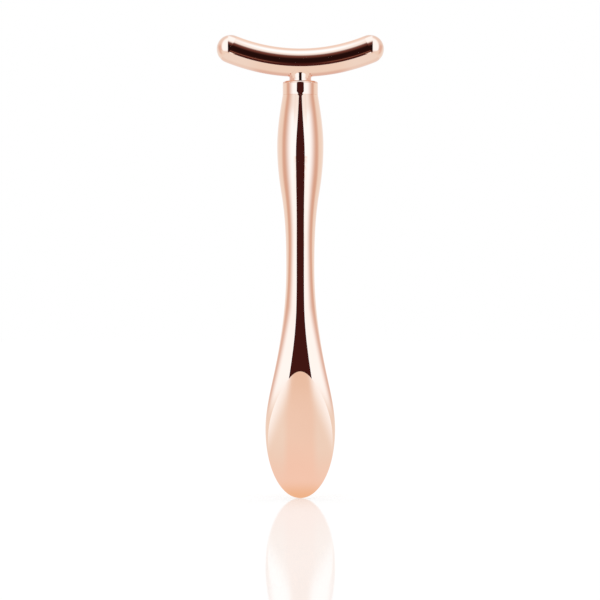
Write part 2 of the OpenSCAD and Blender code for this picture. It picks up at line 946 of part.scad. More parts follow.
module pin_insulators() {
    color(black_plastic)
    for (z = pin_zs)
        difference() {
            union() {
                intersection() {
                    back_cylinder(insulator_r, insulator_flange_y - insulator_flange_t, big / 2, z);
                    handle_solid(0, z - pin_d, z + pin_d);
                }
                back_cylinder(insulator_flange_r, insulator_flange_y - insulator_flange_t,
                    insulator_flange_y, z);
            }
            back_cylinder(pin_r, 0, big / 2, z);
        }
}

bar_tube();
bar_end_caps();
heater_strip();
thermistor();
heater_leads();
neck_stem();
neck_bush();
neck_seal();
collar_ring();
front_shell();
rear_shell();
dowel_pins();
core_frame();
battery_cell();
battery_tabs();
battery_leads();
motor_can();
motor_end_cap();
motor_sleeve();
motor_leads();
motor_shaft();
motor_armature();
eccentric_weight();
main_board();
board_screws();
controller_chip();
charger_chip();
small_parts();
switch_base();
switch_plunger();
power_button();
status_led();
led_window();
charge_pins();
pin_insulators();
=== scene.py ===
"""A rose-gold eye massager wand, standing on its tip on a pale glossy floor.

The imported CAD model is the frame. The mirror-polished outside pieces are built again as
dense closed meshes with the true surface's own normals, because a polished surface shows
every facet. The hidden pieces keep their CAD meshes and get their own materials.
Lengths are in millimetres here and are turned into metres when a mesh is made.
"""
import json
import math

import bmesh
import bpy
import numpy as np
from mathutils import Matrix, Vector


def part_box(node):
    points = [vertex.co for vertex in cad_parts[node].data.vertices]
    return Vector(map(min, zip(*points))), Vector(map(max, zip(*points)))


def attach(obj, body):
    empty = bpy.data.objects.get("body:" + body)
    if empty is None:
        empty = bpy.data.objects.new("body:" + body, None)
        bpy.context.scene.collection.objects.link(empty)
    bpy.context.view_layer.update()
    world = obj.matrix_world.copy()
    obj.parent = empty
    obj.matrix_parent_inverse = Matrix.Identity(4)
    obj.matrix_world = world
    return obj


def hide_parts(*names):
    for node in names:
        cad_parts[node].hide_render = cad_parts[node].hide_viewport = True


MM = 0.001

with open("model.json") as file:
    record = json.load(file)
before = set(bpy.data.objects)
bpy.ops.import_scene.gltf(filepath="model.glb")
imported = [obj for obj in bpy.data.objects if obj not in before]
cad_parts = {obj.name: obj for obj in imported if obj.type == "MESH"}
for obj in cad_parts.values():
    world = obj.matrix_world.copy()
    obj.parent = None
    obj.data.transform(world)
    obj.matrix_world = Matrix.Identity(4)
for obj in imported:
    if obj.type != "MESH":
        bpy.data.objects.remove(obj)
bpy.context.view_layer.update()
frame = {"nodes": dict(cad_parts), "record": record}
NODES = frame["nodes"]

# ------------------------------------------------------------------ camera

camera_data = bpy.data.cameras.new("camera")
camera_data.lens = 200
camera_data.sensor_width = 36
camera_data.clip_start, camera_data.clip_end = 0.05, 20
camera = bpy.data.objects.new("camera", camera_data)
camera.location = (-0.0001, -1.0785, -0.0497)
camera.rotation_euler = (math.pi / 2, 0, 0)
bpy.context.scene.collection.objects.link(camera)
bpy.context.scene.camera = camera

# ------------------------------------------------------------------ sizes, as in the CAD model

GRIP_R, WAIST_R, SCOOP_R, TOP_R, TOP_SLOPE = 7.5, 4.55, 11.3, 5.7, -0.17
COLLAR_Z, WAIST_Z, SCOOP_Z, TIP_Z = 16.6, -39.4, -91.5, -114.0
SHOULDER_Z = 0.39 * WAIST_Z
SHOULDER_R = GRIP_R - 0.47 * (GRIP_R - WAIST_R)
FLARE_Z = WAIST_Z - 0.64 * (WAIST_Z - SCOOP_Z)
FLARE_R = WAIST_R + 0.566 * (SCOOP_R - WAIST_R)
LOFT_Z, FLAT_Z, BEND_START_Z = -52.0, -72.7, -78.0
FRONT_DEPTH, BACK_DEPTH, TIP_BEND, FLAT_SLOPE = 5.3, 5.9, 3.7, 0.205
TIP_FULLNESS = 2.04
WALL = 1.1
SPIGOT_R, SPIGOT_TOP_Z, SPIGOT_BORE_R = 4.55, 19.8, 3.55
BULKHEAD_Z, CAVITY_FLOOR_Z = 14.3, -50.0
COLLAR_TOP_Z, COLLAR_ROUND = 21.1, 0.9
NECK_R, NECK_BORE_R, SHANK_R, SHANK_TOP_Z = 3.5, 2.0, 2.9, 24.2
FLANGE_R, FLANGE_TOP_Z, FLANGE_T, NECK_SEAT_Z = 4.6, 14.25, 1.0, 20.0
BAR_R, BAR_BORE_R, BAR_Z, BEND_R = 4.6, 3.7, 27.1, 60.0
HEAD_W = 54.2
BAR_HALF_ANGLE = math.asin((HEAD_W / 2 - BAR_R) / BEND_R)
CAP_SPIGOT_L, CAP_SPIGOT_R = 1.6, 3.65
BUTTON_Z, BUTTON_W, BUTTON_L, BUTTON_PROUD = -28.8, 4.2, 9.0, 0.3
BUTTON_FLANGE_W, BUTTON_FLANGE_T, BUTTON_FLANGE_GAP = 5.2, 0.5, 0.07
BUTTON_LIP, BUTTON_FOOT_R, BUTTON_EDGE = 0.5, 1.4, 0.18
RUNNING_GAP, SLIP_GAP = 0.06, 0.05
WINDOW_Z, WINDOW_R = -36.5, 0.7
PIN_ZS, INSULATOR_R = (-45.4, -41.4), 1.5


def hermite(z, z0, r0, m0, z1, r1, m1):
    """Smooth curve from (z0, r0) with slope m0 to (z1, r1) with slope m1."""
    d = z1 - z0
    t = (z - z0) / d
    return ((2 * t**3 - 3 * t**2 + 1) * r0 + (t**3 - 2 * t**2 + t) * m0 * d
            + (3 * t**2 - 2 * t**3) * r1 + (t**3 - t**2) * m1 * d)


def wand_r(z):
    """Half the width of the handle and scoop at height z."""
    z = np.asarray(z, float)
    tip = SCOOP_R * np.clip(1 - np.clip((SCOOP_Z - z) / (SCOOP_Z - TIP_Z), 0, 1)
                            ** TIP_FULLNESS, 0, 1) ** (1 / TIP_FULLNESS)
    return np.select(
        [z > 0, z > SHOULDER_Z, z > WAIST_Z, z > FLARE_Z, z > SCOOP_Z],
        [hermite(z, 0, GRIP_R, 0, COLLAR_Z, TOP_R, TOP_SLOPE),
         hermite(z, 0, GRIP_R, 0, SHOULDER_Z, SHOULDER_R, 0.169),
         hermite(z, SHOULDER_Z, SHOULDER_R, 0.169, WAIST_Z, WAIST_R, 0),
         hermite(z, WAIST_Z, WAIST_R, 0, FLARE_Z, FLARE_R, -0.211),
         hermite(z, FLARE_Z, FLARE_R, -0.211, SCOOP_Z, SCOOP_R, 0)],
        tip)


LOFT_R = float(wand_r(LOFT_Z))
LOFT_SLOPE = float(wand_r(LOFT_Z + 0.1) - wand_r(LOFT_Z - 0.1)) / 0.2


def depth(z, side):
    """Depth of the front (side -1) or back (side 1) half at height z."""
    z = np.asarray(z, float)
    deepest_z, deepest = (FLAT_Z, FRONT_DEPTH) if side < 0 else (BEND_START_Z, BACK_DEPTH)
    fall = np.clip((deepest_z - z) / (deepest_z - TIP_Z), 0, 1)
    return np.select(
        [z > LOFT_Z, z > deepest_z],
        [wand_r(z), hermite(z, LOFT_Z, LOFT_R, LOFT_SLOPE, deepest_z, deepest, 0)],
        deepest * np.sqrt(1 - fall**2))


def parting_y(z):
    """Where the two shells meet: straight down the handle, then curving back to the tip."""
    z = np.asarray(z, float)
    return TIP_BEND * (np.clip(BEND_START_Z - z, 0, None) / (BEND_START_Z - TIP_Z)) ** 2


def shell_normal(side):
    """A function of points that gives the outer surface's normals and the heights over it."""
    def of(points):
        x, y = points[:, 0], points[:, 1]
        z = np.clip(points[:, 2], TIP_Z + 0.01, COLLAR_Z)
        nudge = 1e-3
        w, d, v = wand_r(z), depth(z, side), y - parting_y(z)
        dw = (wand_r(z + nudge) - wand_r(z - nudge)) / (2 * nudge)
        dd = (depth(z + nudge, side) - depth(z - nudge, side)) / (2 * nudge)
        dp = (parting_y(z + nudge) - parting_y(z - nudge)) / (2 * nudge)
        gradient = 2 * np.stack([
            x / w**2, v / d**2, -x**2 * dw / w**3 - v * dp / d**2 - v**2 * dd / d**3], 1)
        size = np.linalg.norm(gradient, axis=1)
        return gradient / size[:, None], ((x / w) ** 2 + (v / d) ** 2 - 1) / size
    return of


# ------------------------------------------------------------------ mesh helpers


def new_object(name, points, faces):
    """A mesh object from points in millimetres."""
    mesh = bpy.data.meshes.new(name)
    mesh.from_pydata((np.asarray(points, float) * MM).tolist(), [], faces)
    mesh.validate()
    obj = bpy.data.objects.new(name, mesh)
    bpy.context.scene.collection.objects.link(obj)
    return obj


def strip(rows, cols, start=0, closed=False):
    """Quads of a grid of rows x cols points."""
    across = cols if closed else cols - 1
    return [(start + i * cols + j, start + i * cols + (j + 1) % cols,
             start + (i + 1) * cols + (j + 1) % cols, start + (i + 1) * cols + j)
            for i in range(rows - 1) for j in range(across)]


def turned(name, outline, sides, closed=True):
    """A solid of revolution about Z. outline is a list of (radius, height); a closed outline is
    a ring's section, and an open one starts and ends on the axis."""
    angles = np.linspace(0, 2 * math.pi, sides, endpoint=False)
    ring = np.stack([np.cos(angles), np.sin(angles)], 1)
    inner = outline if closed else outline[1:-1]
    points = [np.column_stack([ring * r, np.full(sides, h)]) for r, h in inner]
    rows = len(inner)
    faces = strip(rows, sides, closed=True)
    if closed:
        faces += [((rows - 1) * sides + j, (rows - 1) * sides + (j + 1) % sides,
                   (j + 1) % sides, j) for j in range(sides)]
    else:
        points += [[[0, 0, outline[0][1]]], [[0, 0, outline[-1][1]]]]
        first, last = rows * sides, rows * sides + 1
        faces += [(first, (j + 1) % sides, j) for j in range(sides)]
        top = (rows - 1) * sides
        faces += [(last, top + j, top + (j + 1) % sides) for j in range(sides)]
    obj = new_object(name, np.vstack(points), faces)
    outward(obj)
    return obj


def outward(obj):
    """Turns every face outwards."""
    bm = bmesh.new()
    bm.from_mesh(obj.data)
    bmesh.ops.recalc_face_normals(bm, faces=bm.faces)
    bm.to_mesh(obj.data)
    bm.free()


def box_mesh(name, corner, edges):
    """A slanted box from one corner and three edges."""
    corner, edges = np.array(corner, float), np.array(edges, float)
    points = [corner + i * edges[0] + j * edges[1] + k * edges[2]
              for i in (0, 1) for j in (0, 1) for k in (0, 1)]
    faces = [(0, 1, 3, 2), (4, 6, 7, 5), (0, 4, 5, 1), (2, 3, 7, 6), (0, 2, 6, 4), (1, 5, 7, 3)]
    obj = new_object(name, points, faces)
    outward(obj)
    return obj


def stadium(half_w, half_l, count):
    """Points around a slot's outline: round ends along Z, straight sides along X."""
    reach = half_l - half_w
    angles = np.linspace(0, 2 * math.pi, count, endpoint=False) + math.pi / count
    return np.stack([half_w * np.cos(angles),
                     half_w * np.sin(angles) + np.where(np.sin(angles) > 0, reach, -reach)], 1)


def pin_mesh(name, outline, y0, y1, z):
    """A straight pin along Y whose section is an outline in X and Z."""
    n = len(outline)
    points = np.vstack([np.column_stack([outline[:, 0], np.full(n, y), outline[:, 1] + z])
                        for y in (y0, y1)])
    faces = strip(2, n, closed=True) + [tuple(range(n)), tuple(range(2 * n - 1, n - 1, -1))]
    obj = new_object(name, points, faces)
    outward(obj)
    return obj


def cut(obj, *tools):
    """Takes the tools away from obj, exactly."""
    for tool in tools:
        modifier = obj.modifiers.new("cut", "BOOLEAN")
        modifier.operation, modifier.solver, modifier.object = "DIFFERENCE", "EXACT", tool
    bpy.context.view_layer.update()
    evaluated = obj.evaluated_get(bpy.context.evaluated_depsgraph_get())
    mesh = bpy.data.meshes.new_from_object(evaluated)
    obj.modifiers.clear()
    obj.data = mesh
    for tool in tools:
        bpy.data.objects.remove(tool)


def smooth_by_angle(obj, degrees=30):
    """Smooth shading, with sharp edges where faces meet at more than the angle."""
    obj.data.polygons.foreach_set("use_smooth", [True] * len(obj.data.polygons))
    obj.data.set_sharp_from_angle(angle=math.radians(degrees))


def smooth_to(obj, normal_of):
    """Gives each face that lies on the true surface that surface's normals; the rest stay flat."""
    mesh = obj.data
    sizes = len(mesh.vertices), len(mesh.loops), len(mesh.polygons)
    points, corners = np.empty(sizes[0] * 3), np.empty(sizes[1], np.int32)
    centres, normals = np.empty(sizes[2] * 3), np.empty(sizes[2] * 3)
    totals = np.empty(sizes[2], np.int32)
    mesh.vertices.foreach_get("co", points)
    mesh.loops.foreach_get("vertex_index", corners)
    mesh.polygons.foreach_get("center", centres)
    mesh.polygons.foreach_get("normal", normals)
    mesh.polygons.foreach_get("loop_total", totals)
    points, centres, normals = (a.reshape(-1, 3) for a in (points / MM, centres / MM, normals))
    true_normals, heights = normal_of(centres)
    on_surface = (np.abs(heights) < 0.02) & ((true_normals * normals).sum(1) > 0.9)
    face_of = np.repeat(np.arange(sizes[2]), totals)
    point_normals, _ = normal_of(points)
    split = np.where(on_surface[face_of][:, None], point_normals[corners], normals[face_of])
    mesh.polygons.foreach_set("use_smooth", [True] * sizes[2])
    mesh.normals_split_custom_set(split.tolist())


# ------------------------------------------------------------------ handle shells

SEAM = 0.07  # how far the shells' edges are eased along the seam


def shell(side):
    """One half of the handle and scoop as a closed solid, before its cavity is cut."""
    down_to_scoop = np.linspace(COLLAR_Z, SCOOP_Z, 269)
    to_tip = SCOOP_Z - (SCOOP_Z - TIP_Z) * np.sin(np.radians(np.linspace(1.2, 89.4, 74)))
    zs = np.concatenate([down_to_scoop, to_tip])
    angles = np.linspace(0, math.pi, 97)
    w, d, py = wand_r(zs), depth(zs, side), parting_y(zs)
    rows = []
    for i, z in enumerate(zs):
        ease = min(SEAM, 0.3 * d[i]) / d[i]
        a = np.concatenate([[0, ease * 0.35], angles[1:-1], [math.pi - ease * 0.35, math.pi]])
        a[a < ease] = np.where(a[a < ease] > 0, a[a < ease], 0)
        sunk = np.clip(1 - np.minimum(a, math.pi - a) / ease, 0, 1) ** 2 * SEAM * 0.8
        sunk = np.minimum(sunk, 0.3 * w[i])
        rows.append(np.column_stack([side * (w[i] - sunk) * np.cos(a),
                                     py[i] + side * d[i] * np.sin(a), np.full(len(a), z)]))
    # the spigot stands on the top
    cols = len(rows[0])
    a = np.concatenate([[0, 1e-3], angles[1:-1], [math.pi - 1e-3, math.pi]])
    for z in (COLLAR_Z, SPIGOT_TOP_Z):
        rows.insert(0, np.column_stack([side * SPIGOT_R * np.cos(a),
                                        side * SPIGOT_R * np.sin(a), np.full(cols, z)]))
    count = len(rows)
    points = np.vstack(rows + [[[0, float(parting_y(TIP_Z)), TIP_Z]]])
    faces = strip(count, cols)
    faces += [(i * cols, (i + 1) * cols, (i + 2) * cols - 1, (i + 1) * cols - 1)
              for i in range(count - 1)]                                  # along the parting
    faces.append(tuple(range(cols)))                                      # top of the spigot
    tip, last = count * cols, (count - 1) * cols
    faces += [(last + j, last + j + 1, tip) for j in range(cols - 1)]
    faces.append((last + cols - 1, last, tip))
    obj = new_object("front_shell_polished" if side < 0 else "rear_shell_polished", points, faces)
    outward(obj)
    return obj


def cavity():
    """The space inside the two shells."""
    zs = np.linspace(CAVITY_FLOOR_Z, BULKHEAD_Z, 64)
    outline = [(0, CAVITY_FLOOR_Z)] + [(float(wand_r(z)) - WALL, float(z)) for z in zs]
    outline += [(SPIGOT_BORE_R, BULKHEAD_Z), (SPIGOT_BORE_R, SPIGOT_TOP_Z + 1),
                (0, SPIGOT_TOP_Z + 1)]
    return turned("cavity", outline, 72, closed=False)


def circle(r, count=48):
    return stadium(r, r, count)


front = shell(-1)
slope_size = math.hypot(1, FLAT_SLOPE)
out = np.array([0, -1, -FLAT_SLOPE]) / slope_size
down = np.array([0, FLAT_SLOPE, -1]) / slope_size
flat_tool = box_mesh("flat_tool", np.array([-20, -FRONT_DEPTH, FLAT_Z]) - 5 * down,
                     [[40, 0, 0], 70 * down, 25 * out])
cut(front, cavity(), flat_tool)
smooth_to(front, shell_normal(-1))

rear = shell(1)
holes = [pin_mesh("button_hole",
                  stadium(BUTTON_W / 2 + RUNNING_GAP, BUTTON_L / 2 + RUNNING_GAP, 64),
                  0.5, 12, BUTTON_Z),
         pin_mesh("window_hole", circle(WINDOW_R + SLIP_GAP), 0.5, 12, WINDOW_Z)]
holes += [pin_mesh("pin_hole", circle(INSULATOR_R), 0.5, 12, z) for z in PIN_ZS]
cut(rear, cavity(), *holes)
smooth_to(rear, shell_normal(1))

# ------------------------------------------------------------------ massage bar

BEND_Z = BAR_Z + BEND_R


def arc_points(angle, radius, around):
    """Points on a tube round the bar's middle line: angle along the bar, around its section."""
    reach = BEND_R + radius * np.cos(around)
    return np.stack([reach * np.sin(angle), radius * np.sin(around),
                     BEND_Z - reach * np.cos(angle)], -1)


def bar_tube():
    steps, sides = 176, 96
    along = np.linspace(-BAR_HALF_ANGLE, BAR_HALF_ANGLE, steps + 1)
    around = np.linspace(0, 2 * math.pi, sides, endpoint=False)
    t, u = np.meshgrid(along, around, indexing="ij")
    outer, inner = (arc_points(t, r, u).reshape(-1, 3) for r in (BAR_R, BAR_BORE_R))
    n = len(outer)
    faces = strip(steps + 1, sides, closed=True) + strip(steps + 1, sides, n, closed=True)
    for first in (0, steps * sides):
        faces += [(first + j, first + (j + 1) % sides, n + first + (j + 1) % sides, n + first + j)
                  for j in range(sides)]
    obj = new_object("bar_tube_polished", np.vstack([outer, inner]), faces)
    outward(obj)
    hole = turned("shank_hole", [(0, BAR_Z - BAR_R - 2), (SHANK_R, BAR_Z - BAR_R - 2),
                                 (SHANK_R, BAR_Z - 0.5), (0, BAR_Z - 0.5)], 64, closed=False)
    cut(obj, hole)
    return obj


def tube_normal(points):
    x, y, z = points.T
    r = np.hypot(x, z - BEND_Z)
    middle = np.stack([x / r * BEND_R, np.zeros_like(x), BEND_Z + (z - BEND_Z) / r * BEND_R], 1)
    away = points - middle
    size = np.linalg.norm(away, axis=1)
    return away / size[:, None], size - BAR_R


bar = bar_tube()
smooth_to(bar, tube_normal)


def end_cap(side):
    """A round end with the spigot that holds it in the tube."""
    quarter = np.radians(np.linspace(90, 0, 33))
    outline = [(0, -CAP_SPIGOT_L), (CAP_SPIGOT_R, -CAP_SPIGOT_L), (CAP_SPIGOT_R, 0)]
    outline += [(BAR_R * math.sin(a), BAR_R * math.cos(a)) for a in quarter[:-1]]
    outline.append((0, BAR_R))
    obj = turned("end_cap", outline, 96, closed=False)
    angle = side * BAR_HALF_ANGLE
    middle = np.array([BEND_R * math.sin(angle), 0, BEND_Z - BEND_R * math.cos(angle)])
    outwards = side * np.array([math.cos(angle), 0, math.sin(angle)])
    across = np.array([0, 1, 0])
    third = np.cross(outwards, across)
    turn = np.column_stack([across, third, outwards])
    co = np.array([v.co for v in obj.data.vertices]) / MM
    placed = co @ turn.T + middle
    obj.data.vertices.foreach_set("co", (placed * MM).ravel())
    outward(obj)
    return obj, middle


def join(objects, name):
    """One object from several."""
    points, faces = [], []
    for o in objects:
        start = len(points)
        points += [tuple(v.co / MM) for v in o.data.vertices]
        faces += [tuple(start + i for i in p.vertices) for p in o.data.polygons]
        bpy.data.objects.remove(o)
    return new_object(name, points, faces)


left_cap, left_middle = end_cap(-1)
right_cap, right_middle = end_cap(1)
caps = join([left_cap, right_cap], "bar_end_caps_polished")


def cap_normal(points):
    middle = np.where(points[:, :1] < 0, left_middle, right_middle)
    away = points - middle
    size = np.linalg.norm(away, axis=1)
    return away / np.maximum(size, 1e-6)[:, None], size - BAR_R


smooth_to(caps, cap_normal)

# ------------------------------------------------------------------ neck and collar

FILLET = 0.55  # brazed fillet where the neck meets the bar


def bar_underside(x, y):
    """Height of the bar's underside over a point."""
    reach = BEND_R + np.sqrt(np.clip(BAR_R**2 - y**2, 0, None))
    return BEND_Z - np.sqrt(reach**2 - x**2)


def neck():
    """The neck: a flange and shank inside, and the part that shows, filleted to the bar."""
    sides = 96
    phi = np.linspace(0, 2 * math.pi, sides, endpoint=False)
    ring = np.stack([np.cos(phi), np.sin(phi)], 1)

    def level(r, z):
        return np.column_stack([ring * r, np.full(sides, z) if np.isscalar(z) else z])

    saddle = bar_underside(*(ring * NECK_R).T)
    start = level(NECK_R, np.maximum(saddle - FILLET, COLLAR_TOP_Z - 0.9))
    reach = np.minimum(NECK_R + FILLET, BAR_R * 0.93 / np.maximum(np.abs(ring[:, 1]), 1e-6))
    end_xy = ring * reach[:, None]
    end = np.column_stack([end_xy, bar_underside(*end_xy.T)])
    corner = level(NECK_R, saddle)
    rows = [level(NECK_BORE_R, FLANGE_TOP_Z - FLANGE_T), level(FLANGE_R, FLANGE_TOP_Z - FLANGE_T),
            level(FLANGE_R, FLANGE_TOP_Z), level(SHANK_R, FLANGE_TOP_Z),
            level(SHANK_R, NECK_SEAT_Z), level(NECK_R, NECK_SEAT_Z)]
    rows += [rows[-1] * (1 - t) + start * t for t in (0.5, 0.94, 1)]
    for t in np.linspace(0, 1, 9)[1:]:
        rows.append((1 - t) ** 2 * start + 2 * t * (1 - t) * corner + t**2 * end)
    for r in (NECK_R, SHANK_R):
        rows.append(np.column_stack([ring * r, bar_underside(*(ring * r).T)]))
    rows += [level(SHANK_R, SHANK_TOP_Z), level(NECK_BORE_R, SHANK_TOP_Z)]
    count = len(rows)
    faces = strip(count, sides, closed=True)
    faces += [((count - 1) * sides + j, (count - 1) * sides + (j + 1) % sides, (j + 1) % sides, j)
              for j in range(sides)]
    obj = new_object("neck_stem_polished", np.vstack(rows), faces)
    outward(obj)
    smooth_by_angle(obj, 35)
    return obj


neck_stem = neck()


def collar_ring():
    """The collar: pressed over the shells' spigots, with a rounded top edge."""
    ceiling_z = COLLAR_TOP_Z - 1
    inner_r, hole_r = SPIGOT_R + SLIP_GAP, NECK_R + SLIP_GAP
    outline = [(inner_r, COLLAR_Z), (TOP_R - 0.05, COLLAR_Z), (TOP_R, COLLAR_Z + 0.05)]
    outline += [(TOP_R, z)
                for z in np.linspace(COLLAR_Z + 0.1, COLLAR_TOP_Z - COLLAR_ROUND - 0.05, 9)]
    outline += [(TOP_R - COLLAR_ROUND * (1 - math.cos(a)),
                 COLLAR_TOP_Z - COLLAR_ROUND * (1 - math.sin(a)))
                for a in np.radians(np.linspace(0, 90, 13))]
    outline += [(hole_r + 0.05, COLLAR_TOP_Z), (hole_r, COLLAR_TOP_Z - 0.05), (hole_r, ceiling_z),
                (inner_r, ceiling_z)]
    obj = turned("collar_ring_polished", outline, 128)
    smooth_by_angle(obj, 25)
    return obj


collar = collar_ring()

# ------------------------------------------------------------------ button


def button():
    """The button: domed with the handle, its edge eased, with its flange and foot inside."""
    count = 96
    foot_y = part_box("power_button")[0].y / MM
    flange_half = (BUTTON_FLANGE_W / 2, BUTTON_L / 2 + BUTTON_LIP)
    r_in = float(wand_r(BUTTON_Z - BUTTON_L / 2)) - WALL
    flange_y = math.sqrt(r_in**2 - flange_half[0] ** 2) - BUTTON_FLANGE_GAP
    flange_y0 = flange_y - BUTTON_FLANGE_T

    def dome(outline, sink):
        z = outline[:, 1] + BUTTON_Z
        y = np.sqrt((wand_r(z) + BUTTON_PROUD) ** 2 - outline[:, 0] ** 2) - sink
        return np.column_stack([outline[:, 0], y, z])

    def level(outline, y):
        return np.column_stack([outline[:, 0], np.full(len(outline), y), outline[:, 1] + BUTTON_Z])

    half_w, half_l, edge = BUTTON_W / 2, BUTTON_L / 2, BUTTON_EDGE
    rows = []
    for inset in np.linspace(half_w - 0.02, edge, 12):
        rows.append(dome(stadium(half_w - inset, half_l - inset, count), 0))
    for a in np.radians(np.linspace(12, 90, 8)):
        inset = edge * (1 - math.sin(a))
        rows.append(dome(stadium(half_w - inset, half_l - inset, count), edge * (1 - math.cos(a))))
    body = stadium(half_w, half_l, count)
    rows.append(level(body, flange_y))
    rows += [level(stadium(*flange_half, count), y) for y in (flange_y, flange_y0)]
    rows += [level(circle(BUTTON_FOOT_R, count), y) for y in (flange_y0, foot_y)]
    faces = strip(len(rows), count, closed=True)
    half = count // 2
    faces += [(j, j + 1, count - 2 - j, count - 1 - j) for j in range(half - 1)]
    last = (len(rows) - 1) * count
    faces.append(tuple(last + j for j in range(count)))
    obj = new_object("power_button_polished", np.vstack(rows), faces)
    outward(obj)
    smooth_by_angle(obj, 30)
    return obj


power_button = button()

for piece, body, node in [
        (front, "wand", "front_shell"), (rear, "wand", "rear_shell"), (bar, "wand", "bar_tube"),
        (caps, "wand", "bar_end_caps"), (neck_stem, "wand", "neck_stem"),
        (collar, "wand", "collar_ring"), (power_button, "button", "power_button")]:
    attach(piece, body)
    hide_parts(node)

# ------------------------------------------------------------------ materials


class Tree:
    """Short names for building a material's nodes."""

    def __init__(self, name):
        self.material = bpy.data.materials.new(name)
        self.material.use_nodes = True
        self.nodes, self.links = self.material.node_tree.nodes, self.material.node_tree.links
        self.nodes.clear()
        self.out = self.add("ShaderNodeOutputMaterial")

    def add(self, kind, **values):
        node = self.nodes.new(kind)
        for key, value in values.items():
            setattr(node, key, value)
        return node

    def put(self, node, socket, value):
        if isinstance(value, bpy.types.NodeSocket):
            self.links.new(value, node.inputs[socket])
        else:
            node.inputs[socket].default_value = value

    def math(self, operation, a, b=0.0):
        node = self.add("ShaderNodeMath", operation=operation)
        self.put(node, 0, a)
        self.put(node, 1, b)
        return node.outputs[0]

    def ramp(self, factor, stops):
        node = self.add("ShaderNodeValToRGB")
        for element, (place, colour) in zip(node.color_ramp.elements, stops):
            element.position = place
            element.color = (*colour, 1)
        self.put(node, 0, factor)
        return node.outputs[0]

    def span(self, value, low, high, to_low, to_high, ease="LINEAR"):
        node = self.add("ShaderNodeMapRange", interpolation_type=ease)
        for i, v in enumerate((value, low, high, to_low, to_high)):
            self.put(node, i, v)
        return node.outputs[0]

    def noise(self, scale, detail):
        place = self.add("ShaderNodeTexCoord")
        node = self.add("ShaderNodeTexNoise")
        self.links.new(place.outputs["Object"], node.inputs["Vector"])
        node.inputs["Scale"].default_value = scale
        node.inputs["Detail"].default_value = detail
        return node.outputs[0]

    def surface(self, colour, roughness, bump, bump_height, **values):
        shader = self.add("ShaderNodeBsdfPrincipled")
        self.put(shader, "Base Color", colour)
        self.put(shader, "Roughness", roughness)
        for key, value in values.items():
            shader.inputs[key.replace("_", " ")].default_value = value
        node = self.add("ShaderNodeBump")
        node.inputs["Strength"].default_value = 1
        node.inputs["Distance"].default_value = bump_height
        self.links.new(bump, node.inputs["Height"])
        self.links.new(node.outputs[0], shader.inputs["Normal"])
        self.links.new(shader.outputs[0], self.out.inputs[0])
        return self.material


def rose_gold():
    """Mirror-polished plating: its tint and gloss drift a little, as buffing leaves them."""
    t = Tree("rose_gold_plate")
    drift = t.noise(45, 2)
    tint = t.ramp(drift, [(0.25, (0.85, 0.545, 0.405)), (0.75, (0.87, 0.575, 0.435))])
    haze = t.span(t.noise(160, 3), 0.3, 0.7, 0.03, 0.05)
    return t.surface(tint, haze, t.noise(1500, 2), 2e-7, Metallic=1.0)


rose = rose_gold()
for piece in (front, rear, bar, caps, neck_stem, collar, power_button):
    piece.data.materials.clear()
    piece.data.materials.append(rose)


def plain(name, dark, light, rough, scale, height, **values):
    """A material whose colour and gloss wander between two tones."""
    t = Tree(name)
    colour = t.ramp(t.noise(scale, 3), [(0.3, dark), (0.7, light)])
    gloss = t.span(t.noise(scale * 2, 2), 0.3, 0.7, rough * 0.85, rough * 1.15)
    return t.surface(colour, gloss, t.noise(scale * 8, 2), height, **values)


LOOKS = {
    "steel": plain("turned_steel", (0.56, 0.56, 0.57), (0.66, 0.66, 0.68),
          0.28, 900, 2e-6, Metallic=1.0),
    "pin_gold": plain("pin_plate", (0.78, 0.55, 0.22), (0.86, 0.63, 0.28),
          0.16, 1200, 1e-6, Metallic=1.0),
    "copper": plain("wound_copper", (0.62, 0.27, 0.13), (0.74, 0.36, 0.19),
          0.3, 1500, 8e-6, Metallic=1.0),
    "black_plastic": plain("black_moulding", (0.012, 0.012, 0.013), (0.022, 0.022, 0.024),
          0.45, 1200, 6e-6),
    "white_plastic": plain("white_moulding", (0.74, 0.73, 0.70), (0.80, 0.79, 0.77),
          0.4, 900, 4e-6),
    "clear_plastic": plain("milky_lens", (0.80, 0.80, 0.78), (0.88, 0.88, 0.86),
          0.12, 700, 1e-6, Coat_Weight=0.5),
    "black_rubber": plain("black_rubber", (0.010, 0.010, 0.010), (0.020, 0.019, 0.019),
          0.7, 1500, 8e-6),
    "lead_sleeve": plain("red_sleeve", (0.42, 0.022, 0.016), (0.54, 0.035, 0.024),
          0.42, 1500, 4e-6),
    "heater_film": plain("amber_film", (0.50, 0.20, 0.035), (0.62, 0.27, 0.06),
          0.3, 1500, 4e-6),
    "battery_wrap": plain("blue_wrap", (0.03, 0.09, 0.28), (0.045, 0.12, 0.35),
          0.22, 600, 4e-6),
    "board_green": plain("green_resist", (0.012, 0.09, 0.035), (0.02, 0.13, 0.05),
          0.3, 1800, 4e-6),
    "chip_ceramic": plain("tan_ceramic", (0.44, 0.28, 0.14), (0.56, 0.38, 0.20),
          0.45, 1800, 4e-6),
    "rose_gold": rose,
}
slot_of = {s["node"]: s["material_slot"] for s in frame["record"]["subparts"]}
for name, node in NODES.items():
    node.data.materials.clear()
    node.data.materials.append(LOOKS[slot_of[name]])

# ------------------------------------------------------------------ studio
# Cards that only the gloss sees. Each glows on its front side and is clear from behind.


